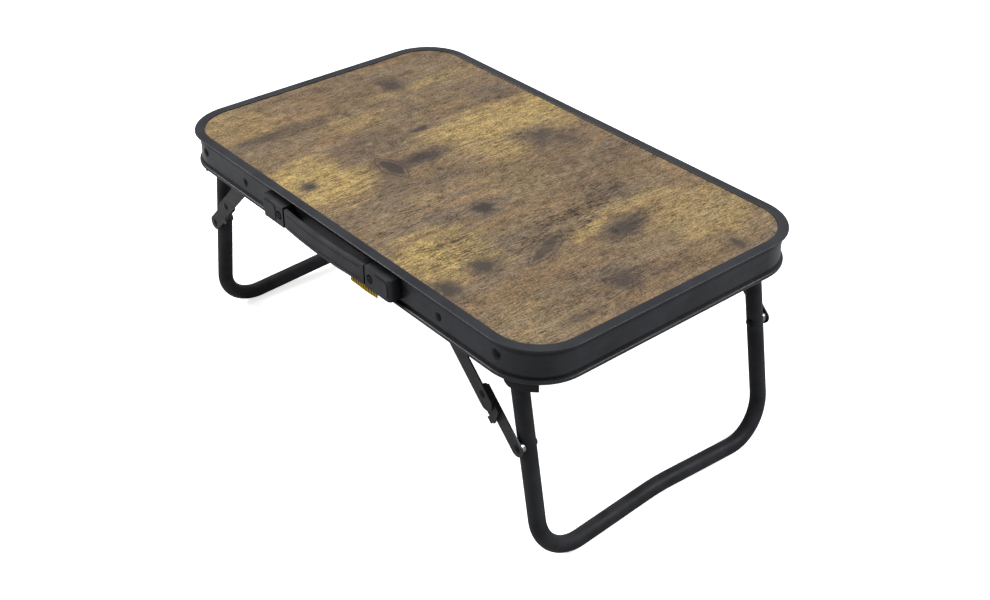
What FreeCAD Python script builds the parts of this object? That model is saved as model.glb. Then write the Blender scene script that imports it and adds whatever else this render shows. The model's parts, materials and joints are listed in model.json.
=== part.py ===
import FreeCAD, Part
import math
import os

Vec = FreeCAD.Vector

# Low folding side table: a framed board on two U-shaped tube legs that fold in under it.
# Millimetres. X runs along the long side, Y along the short side, Z is up from the floor.
# Everything is drawn about the frame ring's centre and moved by ORIGIN_SHIFT_Y when it is
# saved, which puts the origin under the middle of the whole table, handle included.

# Overall size
TABLE_LENGTH = 560.0
TABLE_WIDTH = 340.0
TABLE_HEIGHT = 236.0
CORNER_RADIUS = 54.0

# Frame section, as depths inward from the outer edge and heights above the floor
RIM_WIDTH = 10.1
RIM_UNDERSIDE = TABLE_HEIGHT - 1.3
NOSE_ROUND = 0.9
NOSE_BOTTOM = TABLE_HEIGHT - 1.4
WEB_TOP = TABLE_HEIGHT - 8.5
WEB_BOTTOM = TABLE_HEIGHT - 28.0
WEB_DEPTH = 4.5
WEB_HOLLOW = 0.5
WEB_INNER = 6.3
FRAME_BOTTOM = TABLE_HEIGHT - 36.0
SLOT_LIP_TOP = TABLE_HEIGHT - 7.3
SLOT_LIP_THICK = 1.2
SLOT_LIP_REACH = 12.0
RIM_CHAMFER = 0.3
SEAM_GAP = 0.3

# Points of the frame's mouldings: (depth inward, height above the level they start from)
NOSE_FOOT = (0.3, 0.0)
COVE_TOP = (4.2, -0.4)
COVE_MIDDLE = (5.0, 3.4)
GROOVE_TOP = (5.4, -0.6)
GROOVE_BOTTOM = (5.4, 5.0)
BEAD_TOP = (2.9, 4.1)
BEAD_FRONT = (1.9, 2.3)
BEAD_TURN = (2.8, 0.5)
BEAD_FOOT = (4.2, 0.0)
BEAD_BACK = (5.6, 0.5)
BEAD_END = (6.3, 1.5)

# Top board
LAMINATE_TOP = TABLE_HEIGHT - 1.0
LAMINATE_THICK = 0.8
LAMINATE_GAP = 0.15
BOARD_EDGE = 6.6

# Legs
TUBE_RADIUS = 8.0
TUBE_BORE = 6.9
FOOT_X = 269.0
LEG_SPLAY = 0.186
LEG_HALF_SPACING = 144.3
LEG_BEND_RADIUS = 42.0
RAIL_RISE = 9.0
RAIL_BEND_RADIUS = 250.0
TUBE_END_RADIUS = 8.4
TUBE_END_SPARE = 1.0

# Pivots in the XZ plane of one corner
PIVOT_Z = 219.5
LEG_RIVET_Z = 126.0
FRAME_RIVET_X = 154.0
FRAME_RIVET_Z = 216.5
UPPER_LINK_LENGTH = 74.65

# Layers of one corner, as distances from the ring's centre line along Y
WEB_OUTER_FACE = TABLE_WIDTH / 2 - WEB_DEPTH - WEB_HOLLOW
WEB_INNER_FACE = TABLE_WIDTH / 2 - WEB_INNER
UPPER_LINK_OUTER = 162.1
UPPER_LINK_INNER = 160.6
CHANNEL_OUTER = 160.3
CHANNEL_INNER = 155.0
PLATE_THICK = 1.4
TUBE_OUTER_FACE = LEG_HALF_SPACING + TUBE_RADIUS
TUBE_INNER_FACE = LEG_HALF_SPACING - TUBE_RADIUS

# Braces
LINK_HALF_WIDTH = 8.0
LOWER_HALF_WIDTH = 7.5
LINK_TAIL = 8.0
CHANNEL_ABOVE = 5.0
CHANNEL_BELOW = 27.0
TAB_LENGTH = 8.0
TAB_REACH = 4.0
TAB_INSET = 1.0
BEVEL_LENGTH = 7.0

# Fasteners
RIVET_RADIUS = 2.0
RIVET_HEAD_RADIUS = 4.3
RIVET_HEAD_HEIGHT = 1.5
THIN_HEAD_HEIGHT = 1.1
PIVOT_RADIUS = 3.0
PIVOT_HEAD_RADIUS = 5.0
WASHER_RADIUS = 5.4
WASHER_CUP = 2.0
PIVOT_SPACER_RADIUS = 7.0
RUNNING_CLEARANCE = 0.05
FIXED_CLEARANCE = 0.02
FACE_GAP = 0.1
SEAT_CLEARANCE = 0.1

# How far a cutter runs past what it cuts, and how near two places are when they are the same
OVERCUT = 1.0
SAME_PLACE = 0.01

# Corner brackets
BRACKET_BOTTOM = 190.5
BRACKET_THICK = 3.4
BRACKET_START_X = 220.0
BRACKET_SKIRT_X = 236.0
BRACKET_SKIRT_ROUND = 9.0
BRACKET_SWEEP = 50.0
STOP_X = 243.7
STOP_DEPTH = 22.0
STOP_THICK = 3.0
STOP_END_Y = 140.0

# Handle
HANDLE_BOTTOM = 208.5
HANDLE_TOP = 230.5
HANDLE_MIDDLE = (HANDLE_BOTTOM + HANDLE_TOP) / 2
HOUSING_INNER_X = 66.0
HOUSING_OUTER_X = 102.0
HOUSING_FACE_Y = 177.6
HOUSING_ROUND = 4.0
PANEL_THICK = 0.7
PANEL_INNER_X = 79.0
PANEL_MARGIN = 3.0
POCKET_FRONT_Y = 176.4
POCKET_BACK_Y = 172.4
POCKET_END_X = 96.0
POCKET_MARGIN = 2.6
STRAP_THICK = 3.6
STRAP_MOUTH_X = 64.0
STRAP_MOUTH_Y = 177.4
STRAP_CROWN_Y = 180.5
STRAP_END_X = 92.0
STRAP_MARGIN = 1.1
TONGUE_MARGIN = 3.2
TONGUE_FACE_Y = 176.0
SHOULDER_X = 63.5
GROOVE_WIDTH = 0.8
GROOVE_DEPTH = 0.45
GROOVE_OFFSET = 6.0
GROOVE_END_X = 58.0
SCREW_X = 73.0
SCREW_RADIUS = 1.8
SCREW_HEAD_RADIUS = 2.9
SCREW_RECESS_RADIUS = 4.5
SCREW_SEAT_GAP = 0.2
SCREW_TIP_GAP = 0.3
CROSS_HALF_LENGTH = 2.2
CROSS_HALF_WIDTH = 0.4
CROSS_DEPTH = 0.6
STRAP_SLOT_TRAVEL = 2.4
STRAP_SLOT_CLEARANCE = 0.3

# Fabric tag
TAG_LEFT = 36.0
TAG_NOTCH = 63.0
TAG_RIGHT = 76.0
TAG_BOTTOM = 198.6
TAG_LOW_TOP = 207.6
TAG_HIGH_TOP = 221.0
TAG_FACE_Y = 172.2
TAG_THICK = 0.8

ORIGIN_SHIFT_Y = (STRAP_CROWN_Y - TABLE_WIDTH / 2) / 2

CORNERS = {
    "near_left": (False, False),
    "near_right": (False, True),
    "far_left": (True, False),
    "far_right": (True, True),
}


def bend_lift():
    """How far the foot bend's lowest point stands above the corner of its two centre lines."""
    half_turn = (math.pi / 2 - math.atan(RAIL_RISE / LEG_HALF_SPACING)) / 2
    in_plane = LEG_BEND_RADIUS / math.tan(half_turn) - LEG_BEND_RADIUS
    return in_plane / math.hypot(1, LEG_SPLAY)


FOOT_Z = TUBE_RADIUS - bend_lift()


def leg_centre_x(height):
    """X of the near leg's centre line at a height."""
    return FOOT_X - LEG_SPLAY * (height - FOOT_Z)


PIVOT = (leg_centre_x(PIVOT_Z), PIVOT_Z)
LEG_RIVET = (leg_centre_x(LEG_RIVET_Z), LEG_RIVET_Z)
FRAME_RIVET = (FRAME_RIVET_X, FRAME_RIVET_Z)
BRACE_ANGLE = math.degrees(math.atan2(LEG_RIVET[1] - FRAME_RIVET[1], LEG_RIVET[0] - FRAME_RIVET[0]))


# --- small helpers ---

def box(low, high):
    """A box between two corners."""
    size = [b - a for a, b in zip(low, high)]
    return Part.makeBox(*size, Vec(*low))


def pin_along_y(centre_xz, radius, near_y, far_y):
    """A round pin along Y between two distances from the centre line, on the -Y side."""
    x, z = centre_xz
    return Part.makeCylinder(radius, near_y - far_y, Vec(x, -near_y, z), Vec(0, 1, 0))


def domed_head(centre_xz, radius, height, seat_y, outward):
    """A low domed rivet head seated at a distance from the centre line."""
    x, z = centre_xz
    dome_radius = (radius ** 2 + height ** 2) / (2 * height)
    half_way = radius / 2
    half_height = math.sqrt(dome_radius ** 2 - half_way ** 2) - (dome_radius - height)
    direction = -1 if outward else 1
    centre = Vec(x, -seat_y, z)
    rim = Vec(x + radius, -seat_y, z)
    shoulder = Vec(x + half_way, -seat_y + direction * half_height, z)
    crown = Vec(x, -seat_y + direction * height, z)
    edges = [
        Part.makeLine(centre, rim),
        Part.Arc(rim, shoulder, crown).toShape(),
        Part.makeLine(crown, centre),
    ]
    return Part.Face(Part.Wire(edges)).revolve(centre, Vec(0, 1, 0), 360)


def rounded_outline(inset, height):
    """The ring's outline at an inset from its outer edge, as a wire at one height."""
    half_x = TABLE_LENGTH / 2 - inset
    half_y = TABLE_WIDTH / 2 - inset
    radius = CORNER_RADIUS - inset
    edges = []
    turns = [(1, -1, -90), (1, 1, 0), (-1, 1, 90), (-1, -1, 180)]
    ends = []
    for side_x, side_y, start in turns:
        centre = Vec(side_x * (half_x - radius), side_y * (half_y - radius), height)
        points = []
        for angle in (start, start + 45, start + 90):
            turn = math.radians(angle)
            points.append(centre + Vec(radius * math.cos(turn), radius * math.sin(turn), 0))
        edges.append(Part.Arc(*points).toShape())
        ends.append((points[0], points[2]))
    for index in range(4):
        edges.append(Part.makeLine(ends[index][1], ends[(index + 1) % 4][0]))
    return Part.Wire(Part.__sortEdges__(edges))


def slab(inset, bottom, top):
    """A flat slab with the ring's rounded outline."""
    face = Part.Face(rounded_outline(inset, bottom))
    return face.extrude(Vec(0, 0, top - bottom))


def capsule_prism(start_xz, end_xz, start_radius, end_radius, near_y, far_y):
    """A flat bar with round ends, between two XZ points, on the -Y side."""
    half = max(start_radius, end_radius)
    length = math.dist(start_xz, end_xz)
    angle = math.degrees(math.atan2(end_xz[1] - start_xz[1], end_xz[0] - start_xz[0]))
    bar = Part.makeBox(length, near_y - far_y, 2 * half, Vec(0, -near_y, -half))
    bar.rotate(Vec(0, 0, 0), Vec(0, 1, 0), -angle)
    bar.translate(Vec(start_xz[0], 0, start_xz[1]))
    start_disc = pin_along_y(start_xz, start_radius, near_y, far_y)
    end_disc = pin_along_y(end_xz, end_radius, near_y, far_y)
    return bar.multiFuse([start_disc, end_disc]).removeSplitter()


def along_brace(distance, offset=0.0):
    """XZ point on the open brace's line: distance from the frame rivet, offset towards the leg."""
    turn = math.radians(BRACE_ANGLE)
    x = FRAME_RIVET[0] + distance * math.cos(turn) - offset * math.sin(turn)
    z = FRAME_RIVET[1] + distance * math.sin(turn) + offset * math.cos(turn)
    return (x, z)


def brace_block(start, end, low_offset, high_offset, near_y, far_y):
    """A block lined up with the open brace."""
    size = (end - start, near_y - far_y, high_offset - low_offset)
    block = Part.makeBox(*size, Vec(start, -near_y, low_offset))
    block.rotate(Vec(0, 0, 0), Vec(0, 1, 0), -BRACE_ANGLE)
    block.translate(Vec(FRAME_RIVET[0], 0, FRAME_RIVET[1]))
    return block


def polygon_prism_y(points_xz, near_y, far_y):
    """A prism along Y from an XZ outline, on the -Y side."""
    corners = [Vec(x, -near_y, z) for x, z in points_xz]
    face = Part.Face(Part.makePolygon(corners + corners[:1]))
    return face.extrude(Vec(0, near_y - far_y, 0))


def place_corner(shape, flip_x, flip_y):
    """Mirror a near-left piece to another corner."""
    if flip_x:
        shape = shape.mirror(Vec(0, 0, 0), Vec(1, 0, 0))
    if flip_y:
        shape = shape.mirror(Vec(0, 0, 0), Vec(0, 1, 0))
    return shape


def save(node, shape):
    """Write one sub-part."""
    moved = shape.copy()
    moved.translate(Vec(0, ORIGIN_SHIFT_Y, 0))
    moved.exportStep("parts/%s.step" % node)


# --- frame and top ---

def frame_section():
    """The frame's section as a closed face in the YZ plane, for the middle of the -Y side."""

    def at(inset, height):
        return Vec(0, inset - TABLE_WIDTH / 2, height)

    def moulding(point, level):
        return at(point[0], level + point[1])

    top = TABLE_HEIGHT
    nose_mid = NOSE_ROUND * (1 - math.sqrt(0.5))
    lip_bottom = SLOT_LIP_TOP - SLOT_LIP_THICK
    nose_foot = moulding(NOSE_FOOT, NOSE_BOTTOM)
    cove_top = moulding(COVE_TOP, NOSE_BOTTOM)
    web_top = at(WEB_DEPTH, WEB_TOP)
    web_middle = at(WEB_DEPTH + WEB_HOLLOW, (WEB_TOP + WEB_BOTTOM) / 2)
    web_bottom = at(WEB_DEPTH, WEB_BOTTOM)
    groove_top = moulding(GROOVE_TOP, WEB_BOTTOM)
    groove_bottom = moulding(GROOVE_BOTTOM, FRAME_BOTTOM)
    bead = [moulding(p, FRAME_BOTTOM) for p in (BEAD_TOP, BEAD_FRONT, BEAD_TURN, BEAD_FOOT, BEAD_BACK)]
    inner_corners = [
        moulding(BEAD_END, FRAME_BOTTOM),
        at(WEB_INNER, lip_bottom),
        at(SLOT_LIP_REACH, lip_bottom),
        at(SLOT_LIP_REACH, SLOT_LIP_TOP),
        at(WEB_INNER, SLOT_LIP_TOP),
        at(WEB_INNER, RIM_UNDERSIDE),
        at(RIM_WIDTH, RIM_UNDERSIDE),
        at(RIM_WIDTH, top - RIM_CHAMFER),
        at(RIM_WIDTH - RIM_CHAMFER, top),
        at(NOSE_ROUND, top),
    ]
    arcs = [
        (inner_corners[-1], at(nose_mid, top - nose_mid), at(0, top - NOSE_ROUND)),
        (cove_top, moulding(COVE_MIDDLE, WEB_TOP), web_top),
        (web_top, web_middle, web_bottom),
        (bead[0], bead[1], bead[2]),
        (bead[2], bead[3], bead[4]),
    ]
    lines = [(at(0, top - NOSE_ROUND), nose_foot), (nose_foot, cove_top), (bead[4], inner_corners[0])]
    lines += [(web_bottom, groove_top), (groove_top, groove_bottom), (groove_bottom, bead[0])]
    lines += zip(inner_corners, inner_corners[1:])
    edges = [Part.Arc(*points).toShape() for points in arcs]
    edges += [Part.makeLine(*points) for points in lines]
    return Part.Face(Part.Wire(Part.__sortEdges__(edges)))


def ring_quarter(section):
    """The ring from the middle of the -Y side, round one corner, to the middle of the +X side."""
    straight_x = TABLE_LENGTH / 2 - CORNER_RADIUS
    straight_y = TABLE_WIDTH / 2 - CORNER_RADIUS
    long_run = section.extrude(Vec(straight_x, 0, 0))
    corner_face = section.copy()
    corner_face.translate(Vec(straight_x, 0, 0))
    corner = corner_face.revolve(Vec(straight_x, -straight_y, 0), Vec(0, 0, 1), 90)
    end_face = corner_face.copy()
    end_face.rotate(Vec(straight_x, -straight_y, 0), Vec(0, 0, 1), 90)
    short_run = end_face.extrude(Vec(0, straight_y, 0))
    return long_run.multiFuse([corner, short_run])


def frame_ring():
    """One extrusion bent into a ring, with its butt seam in the middle of the handle side."""
    quarter = ring_quarter(frame_section())
    half = quarter.fuse(quarter.mirror(Vec(0, 0, 0), Vec(0, 1, 0)))
    ring = half.fuse(half.mirror(Vec(0, 0, 0), Vec(1, 0, 0))).removeSplitter()
    cutters = [box(
        (-SEAM_GAP / 2, -TABLE_WIDTH / 2 - OVERCUT, FRAME_BOTTOM - OVERCUT),
        (SEAM_GAP / 2, -TABLE_WIDTH / 2 + SLOT_LIP_REACH + OVERCUT, TABLE_HEIGHT + OVERCUT),
    )]
    fixings = [
        (PIVOT, PIVOT_RADIUS, PIVOT_HEAD_RADIUS),
        (FRAME_RIVET, RIVET_RADIUS, RIVET_HEAD_RADIUS),
    ]
    for flip_x, flip_y in CORNERS.values():
        for centre, radius, head_radius in fixings:
            hole = pin_along_y(centre, radius + FIXED_CLEARANCE, TABLE_WIDTH / 2, WEB_INNER_FACE - OVERCUT)
            seat_y = WEB_OUTER_FACE - FIXED_CLEARANCE
            seat = pin_along_y(centre, head_radius + SEAT_CLEARANCE, TABLE_WIDTH / 2, seat_y)
            cutters.append(place_corner(hole.fuse(seat), flip_x, flip_y))
    for side in (-1, 1):
        screw = (side * SCREW_X, HANDLE_MIDDLE)
        radius = SCREW_RADIUS + FIXED_CLEARANCE
        cutters.append(pin_along_y(screw, radius, TABLE_WIDTH / 2, WEB_INNER_FACE - OVERCUT))
    return ring.cut(Part.makeCompound(cutters))


def top_laminate():
    """Thin decorated sheet that fills the opening inside the rim."""
    return slab(RIM_WIDTH + LAMINATE_GAP, LAMINATE_TOP - LAMINATE_THICK, LAMINATE_TOP)


def core_board():
    """Fibreboard panel held in the frame's slot, under the laminate."""
    return slab(BOARD_EDGE, SLOT_LIP_TOP, LAMINATE_TOP - LAMINATE_THICK)


# --- corner brackets ---

def bracket_band(outer_inset, inner_inset):
    """Plan outline of a band that follows the frame's web round the near-left corner."""
    centre_x = TABLE_LENGTH / 2 - CORNER_RADIUS
    centre_y = -(TABLE_WIDTH / 2 - CORNER_RADIUS)

    def on_arc(inset, angle):
        radius = CORNER_RADIUS - inset
        turn = math.radians(angle)
        return Vec(centre_x + radius * math.cos(turn), centre_y + radius * math.sin(turn), BRACKET_BOTTOM)

    first = -90
    middle = first + BRACKET_SWEEP / 2
    last = first + BRACKET_SWEEP
    outer_start = Vec(BRACKET_START_X, outer_inset - TABLE_WIDTH / 2, BRACKET_BOTTOM)
    inner_start = Vec(BRACKET_START_X, inner_inset - TABLE_WIDTH / 2, BRACKET_BOTTOM)
    edges = [
        Part.makeLine(outer_start, on_arc(outer_inset, first)),
        Part.Arc(*[on_arc(outer_inset, a) for a in (first, middle, last)]).toShape(),
        Part.makeLine(on_arc(outer_inset, last), on_arc(inner_inset, last)),
        Part.Arc(*[on_arc(inner_inset, a) for a in (last, middle, first)]).toShape(),
        Part.makeLine(on_arc(inner_inset, first), inner_start),
        Part.makeLine(inner_start, outer_start),
    ]
    return Part.Face(Part.Wire(edges))


def corner_bracket():
    """Moulded bracket inside the corner: it carries the leg pin and stops the open leg."""
    top = SLOT_LIP_TOP - SLOT_LIP_THICK - FACE_GAP
    outer_inset = WEB_INNER + FACE_GAP
    band = bracket_band(outer_inset, outer_inset + BRACKET_THICK)
    wall = band.extrude(Vec(0, 0, top - BRACKET_BOTTOM))
    shelf_face = bracket_band(outer_inset, outer_inset + STOP_DEPTH)
    shelf = shelf_face.extrude(Vec(0, 0, STOP_THICK))
    shelf_limits = box((STOP_X, -TABLE_WIDTH / 2, BRACKET_BOTTOM), (TABLE_LENGTH / 2, -STOP_END_Y, top))
    solid = wall.fuse(shelf.common(shelf_limits))
    corner_centre = (BRACKET_SKIRT_X + BRACKET_SKIRT_ROUND, BRACKET_BOTTOM + BRACKET_SKIRT_ROUND)
    notch = box((BRACKET_START_X - OVERCUT, -TABLE_WIDTH / 2, BRACKET_BOTTOM - OVERCUT),
                (BRACKET_SKIRT_X, -STOP_END_Y + OVERCUT, FRAME_BOTTOM))
    corner = box((BRACKET_SKIRT_X, -TABLE_WIDTH / 2, BRACKET_BOTTOM - OVERCUT),
                 (corner_centre[0], -STOP_END_Y + OVERCUT, corner_centre[1]))
    corner = corner.cut(pin_along_y(corner_centre, BRACKET_SKIRT_ROUND, TABLE_WIDTH, 0))
    pin_hole = pin_along_y(PIVOT, PIVOT_RADIUS + FIXED_CLEARANCE, TABLE_WIDTH / 2, STOP_END_Y)
    return solid.cut(Part.makeCompound([notch, corner, pin_hole])).removeSplitter()


def leg_pivot_pin():
    """Headed pin through the frame, the bracket and the leg tube."""
    shank = pin_along_y(PIVOT, PIVOT_RADIUS, WEB_OUTER_FACE, TUBE_INNER_FACE)
    head = domed_head(PIVOT, PIVOT_HEAD_RADIUS, RIVET_HEAD_HEIGHT, WEB_OUTER_FACE, True)
    tail = domed_head(PIVOT, PIVOT_HEAD_RADIUS, RIVET_HEAD_HEIGHT, TUBE_INNER_FACE, False)
    return shank.multiFuse([head, tail]).removeSplitter()


def pivot_spacer():
    """Sleeve that keeps the leg tube clear of the bracket, cut to the bracket's curve."""
    outer_y = WEB_INNER_FACE - FACE_GAP - BRACKET_THICK
    inner_y = TUBE_OUTER_FACE + FACE_GAP
    sleeve = pin_along_y(PIVOT, PIVOT_SPACER_RADIUS, outer_y, inner_y)
    bore = pin_along_y(PIVOT, PIVOT_RADIUS + FIXED_CLEARANCE, outer_y, inner_y)
    return sleeve.cut(bore).cut(corner_bracket())


# --- legs ---

def leg_plane_point(y, up):
    """A point of the near leg's plane: y across, up along the splayed legs from the foot line."""
    length = math.hypot(1, LEG_SPLAY)
    return Vec(FOOT_X - LEG_SPLAY * up / length, y, FOOT_Z + up / length)


def rounded_path(points, radii):
    """Edges through the points, with a tangent arc at each inner point."""
    edges = []
    last = points[0]
    for index, radius in enumerate(radii, start=1):
        corner = points[index]
        back = (points[index - 1] - corner).normalize()
        ahead = (points[index + 1] - corner).normalize()
        half_turn = back.getAngle(ahead) / 2
        reach = radius / math.tan(half_turn)
        middle = (back + ahead).normalize()
        centre_gap = radius / math.sin(half_turn)
        start = corner + back * reach
        end = corner + ahead * reach
        nearest = corner + middle * (centre_gap - radius)
        edges.append(Part.makeLine(last, start))
        edges.append(Part.Arc(start, nearest, end).toShape())
        last = end
    edges.append(Part.makeLine(last, points[-1]))
    return Part.Wire(edges)


def leg_rod(radius):
    """The leg's bent shape as a solid rod."""
    length = math.hypot(1, LEG_SPLAY)
    pivot_up = (PIVOT_Z - FOOT_Z) * length
    top = pivot_up + TUBE_END_RADIUS + TUBE_END_SPARE
    flat_points = [
        (-LEG_HALF_SPACING, top),
        (-LEG_HALF_SPACING, 0),
        (0, RAIL_RISE),
        (LEG_HALF_SPACING, 0),
        (LEG_HALF_SPACING, top),
    ]
    points = [leg_plane_point(y, up) for y, up in flat_points]
    path = rounded_path(points, [LEG_BEND_RADIUS, RAIL_BEND_RADIUS, LEG_BEND_RADIUS])
    direction = points[1] - points[0]
    profile = Part.Wire(Part.makeCircle(radius, points[0], direction))
    return path.makePipeShell([profile], True, True)


def leg_tube():
    """The near U leg: a bent round tube, its ends rounded about the pivots."""
    tube = leg_rod(TUBE_RADIUS).cut(leg_rod(TUBE_BORE))
    reach = 2 * TUBE_END_RADIUS
    above = Part.makeBox(2 * reach, TABLE_WIDTH, reach, Vec(-reach, -TABLE_WIDTH / 2, 0))
    above.rotate(Vec(0, 0, 0), Vec(0, 1, 0), -math.degrees(math.atan(LEG_SPLAY)))
    above.translate(Vec(PIVOT[0], 0, PIVOT[1]))
    round_end = pin_along_y(PIVOT, TUBE_END_RADIUS, TABLE_WIDTH / 2, -TABLE_WIDTH / 2)
    cutters = [above.cut(round_end)]
    holes = [(PIVOT, PIVOT_RADIUS + RUNNING_CLEARANCE), (LEG_RIVET, RIVET_RADIUS + FIXED_CLEARANCE)]
    for centre, radius in holes:
        hole = pin_along_y(centre, radius, TUBE_OUTER_FACE + OVERCUT, TUBE_INNER_FACE - OVERCUT)
        cutters += [place_corner(hole, False, flip_y) for flip_y in (False, True)]
    return tube.cut(Part.makeCompound(cutters))


# --- braces ---

def upper_link():
    """Flat bar from the frame rivet to just past the middle pivot."""
    tail = along_brace(UPPER_LINK_LENGTH + LINK_TAIL)
    middle = along_brace(UPPER_LINK_LENGTH)
    layer = (UPPER_LINK_OUTER, UPPER_LINK_INNER)
    bar = capsule_prism(FRAME_RIVET, tail, LINK_HALF_WIDTH, LINK_HALF_WIDTH, *layer)
    frame_hole = pin_along_y(FRAME_RIVET, RIVET_RADIUS + RUNNING_CLEARANCE, *layer)
    middle_hole = pin_along_y(middle, RIVET_RADIUS + FIXED_CLEARANCE, *layer)
    return bar.cut(Part.makeCompound([frame_hole, middle_hole]))


def lower_link():
    """Strip folded to a channel round the middle pivot, then flat down to the leg rivet."""
    middle = along_brace(UPPER_LINK_LENGTH)
    start = UPPER_LINK_LENGTH - CHANNEL_ABOVE
    end = UPPER_LINK_LENGTH + CHANNEL_BELOW
    half = LOWER_HALF_WIDTH
    flat = capsule_prism(middle, LEG_RIVET, half, half, CHANNEL_INNER + PLATE_THICK, CHANNEL_INNER)
    back = brace_block(start, end, half - PLATE_THICK, half, CHANNEL_OUTER, CHANNEL_INNER)
    face = brace_block(start, end, -half, half, CHANNEL_OUTER, CHANNEL_OUTER - PLATE_THICK)
    round_top = pin_along_y(middle, half, CHANNEL_OUTER, CHANNEL_OUTER - PLATE_THICK)
    tab = brace_block(end - TAB_LENGTH, end - TAB_INSET, -half - TAB_REACH, -half + TAB_INSET,
                      CHANNEL_OUTER, CHANNEL_OUTER - PLATE_THICK)
    solid = flat.multiFuse([back, face, round_top, tab]).removeSplitter()
    leg_hole = pin_along_y(LEG_RIVET, RIVET_RADIUS + RUNNING_CLEARANCE, CHANNEL_OUTER, CHANNEL_INNER)
    middle_hole = pin_along_y(middle, RIVET_RADIUS + FIXED_CLEARANCE, CHANNEL_OUTER, CHANNEL_INNER)
    bevel = polygon_prism_y(
        [
            along_brace(end - BEVEL_LENGTH, half + OVERCUT),
            along_brace(end + OVERCUT, half + OVERCUT),
            along_brace(end + OVERCUT, -half),
        ],
        CHANNEL_OUTER + OVERCUT, CHANNEL_INNER + PLATE_THICK,
    )
    return solid.cut(Part.makeCompound([leg_hole, middle_hole, bevel]))


def middle_rivet_head():
    """The middle pivot's outer half, fixed in the upper link."""
    middle = along_brace(UPPER_LINK_LENGTH)
    shank = pin_along_y(middle, RIVET_RADIUS, UPPER_LINK_OUTER, UPPER_LINK_INNER)
    head = domed_head(middle, RIVET_HEAD_RADIUS, THIN_HEAD_HEIGHT, UPPER_LINK_OUTER, True)
    return shank.fuse(head).removeSplitter()


def middle_rivet_tail():
    """The middle pivot's inner half, fixed in the lower link's channel."""
    middle = along_brace(UPPER_LINK_LENGTH)
    shank = pin_along_y(middle, RIVET_RADIUS, CHANNEL_OUTER, CHANNEL_INNER)
    tail = domed_head(middle, RIVET_HEAD_RADIUS, THIN_HEAD_HEIGHT, CHANNEL_INNER, False)
    return shank.fuse(tail).removeSplitter()


def frame_rivet():
    """Rivet that hangs the upper link on the frame's web."""
    shank = pin_along_y(FRAME_RIVET, RIVET_RADIUS, WEB_OUTER_FACE, UPPER_LINK_INNER)
    head = domed_head(FRAME_RIVET, RIVET_HEAD_RADIUS, RIVET_HEAD_HEIGHT, WEB_OUTER_FACE, True)
    tail = domed_head(FRAME_RIVET, RIVET_HEAD_RADIUS, THIN_HEAD_HEIGHT, UPPER_LINK_INNER, False)
    return shank.multiFuse([head, tail]).removeSplitter()


def frame_washer():
    """Washer between the frame's web and the upper link."""
    washer = pin_along_y(FRAME_RIVET, WASHER_RADIUS, WEB_INNER_FACE, UPPER_LINK_OUTER)
    hole = pin_along_y(FRAME_RIVET, RIVET_RADIUS + FIXED_CLEARANCE, WEB_INNER_FACE, UPPER_LINK_OUTER)
    return washer.cut(hole)


def leg_rivet():
    """Rivet through the leg tube that carries the lower link."""
    shank = pin_along_y(LEG_RIVET, RIVET_RADIUS, CHANNEL_INNER + PLATE_THICK, TUBE_INNER_FACE)
    head = domed_head(LEG_RIVET, RIVET_HEAD_RADIUS, THIN_HEAD_HEIGHT, CHANNEL_INNER + PLATE_THICK, True)
    tail = domed_head(LEG_RIVET, RIVET_HEAD_RADIUS, RIVET_HEAD_HEIGHT, TUBE_INNER_FACE, False)
    return shank.multiFuse([head, tail]).removeSplitter()


def leg_washer():
    """Bare washer between the lower link and the leg tube, cupped to sit on the tube."""
    inner_y = TUBE_OUTER_FACE - WASHER_CUP
    washer = pin_along_y(LEG_RIVET, WASHER_RADIUS, CHANNEL_INNER, inner_y)
    hole = pin_along_y(LEG_RIVET, RIVET_RADIUS + FIXED_CLEARANCE, CHANNEL_INNER, inner_y)
    return washer.cut(hole).cut(leg_rod(TUBE_RADIUS))


# --- handle ---

def handle_housing():
    """Hollow end cap of the handle at +X, with a raised panel and a screw recess."""
    body = box((HOUSING_INNER_X, -HOUSING_FACE_Y, HANDLE_BOTTOM),
               (HOUSING_OUTER_X, -WEB_OUTER_FACE, HANDLE_TOP))
    body = body.makeFillet(HOUSING_ROUND, [e for e in body.Edges if is_outer_front_edge(e)])
    panel = box((PANEL_INNER_X, -HOUSING_FACE_Y - PANEL_THICK, HANDLE_BOTTOM + PANEL_MARGIN),
                (HOUSING_OUTER_X - PANEL_MARGIN, -HOUSING_FACE_Y + OVERCUT, HANDLE_TOP - PANEL_MARGIN))
    body = body.fuse(panel.makeFillet(HOUSING_ROUND, [e for e in panel.Edges if runs_along_y(e)]))
    pocket = box((HOUSING_INNER_X - OVERCUT, -POCKET_FRONT_Y, HANDLE_BOTTOM + POCKET_MARGIN),
                 (POCKET_END_X, -POCKET_BACK_Y, HANDLE_TOP - POCKET_MARGIN))
    screw = (SCREW_X, HANDLE_MIDDLE)
    recess = pin_along_y(screw, SCREW_RECESS_RADIUS, HOUSING_FACE_Y + OVERCUT, POCKET_FRONT_Y)
    screw_hole = pin_along_y(screw, SCREW_RADIUS + FIXED_CLEARANCE, HOUSING_FACE_Y, WEB_OUTER_FACE - OVERCUT)
    return body.cut(Part.makeCompound([pocket, recess, screw_hole, web_clearance()])).removeSplitter()


def is_outer_front_edge(edge):
    """The upright edge where the housing's outer end meets its front is the one that is rounded."""
    centre = edge.CenterOfMass
    at_end = abs(centre.x - HOUSING_OUTER_X) < SAME_PLACE
    at_front = abs(centre.y + HOUSING_FACE_Y) < SAME_PLACE
    return at_end and at_front


def runs_along_y(edge):
    """Whether a straight edge lies along Y."""
    return edge.BoundBox.YLength > edge.Length - SAME_PLACE


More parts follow.
